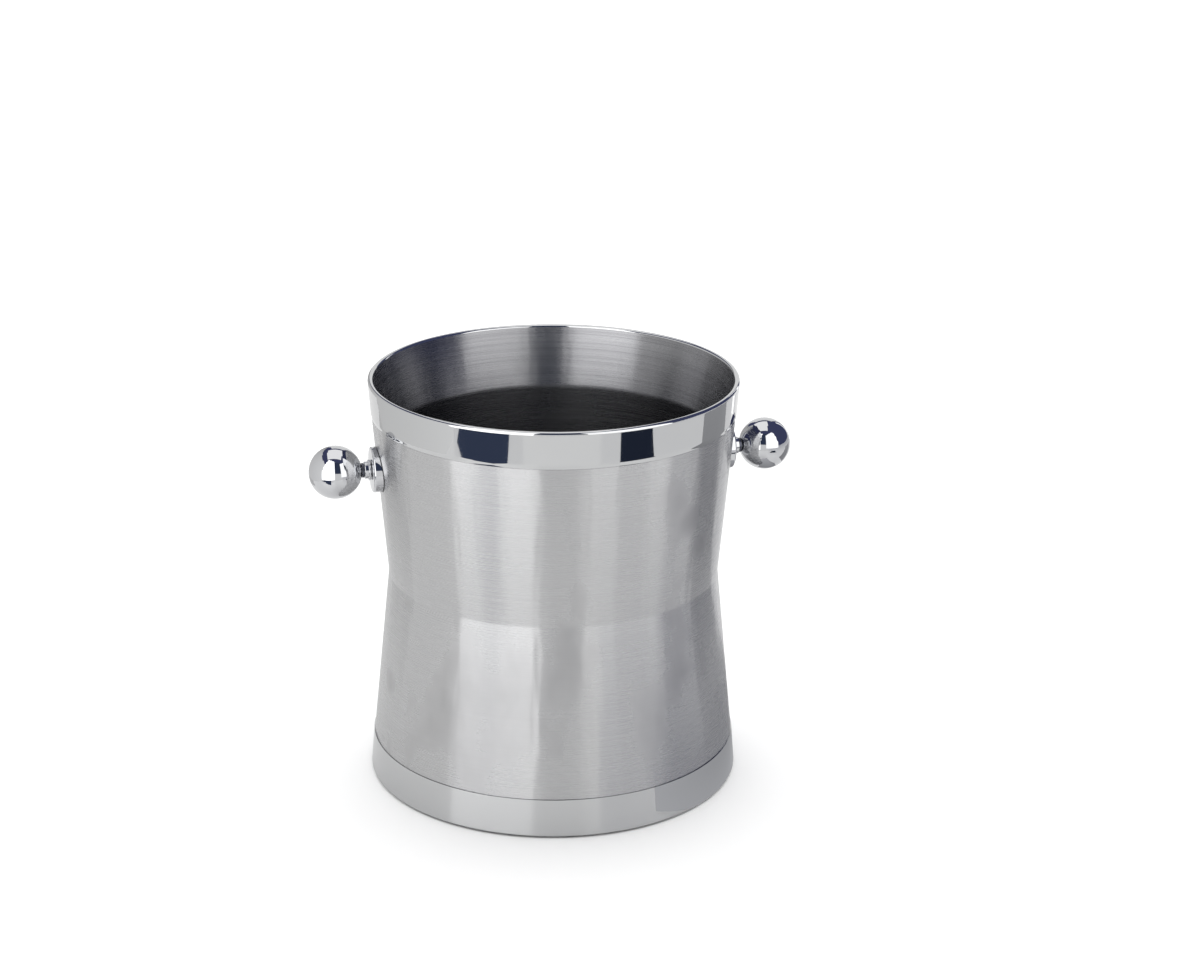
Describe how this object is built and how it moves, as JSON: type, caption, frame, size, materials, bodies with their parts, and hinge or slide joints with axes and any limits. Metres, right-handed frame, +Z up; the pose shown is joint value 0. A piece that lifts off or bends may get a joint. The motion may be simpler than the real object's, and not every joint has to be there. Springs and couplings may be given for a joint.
{
  "type": "champagne bucket",
  "caption": "Double-walled steel wine bucket with a waisted brushed body, polished rim and base bands, and a polished ball knob on each side.",
  "frame": {"origin": "centre of the foot, on the surface that the bucket stands on", "axes": "+Z up along the bucket's axis; the two ball knobs lie on the X axis, the right one on +X"},
  "size_m": [0.2672, 0.204, 0.2255],
  "materials": {
    "brushed_steel": "satin",
    "polished_steel": "polished",
    "liner_steel": "satin",
    "chrome": "polished",
    "dark_steel": "satin",
    "fastener_steel": "satin",
    "rubber": "matte",
    "silicone": "matte"
  },
  "bodies": {
    "root": {"outer_shell": "brushed_steel", "rim_band": "polished_steel", "inner_liner": "liner_steel", "base_ring": "polished_steel", "base_plate": "liner_steel", "vent_plug": "silicone", "foot_ring": "rubber", "left_knob_ball": "chrome", "left_knob_neck_ring": "dark_steel", "left_knob_stem": "chrome", "left_knob_flange": "chrome", "left_knob_saddle_washer": "fastener_steel", "left_knob_spring_washer": "fastener_steel", "left_knob_bolt": "fastener_steel", "right_knob_ball": "chrome", "right_knob_neck_ring": "dark_steel", "right_knob_stem": "chrome", "right_knob_flange": "chrome", "right_knob_saddle_washer": "fastener_steel", "right_knob_spring_washer": "fastener_steel", "right_knob_bolt": "fastener_steel"}
  },
  "joints": []
}
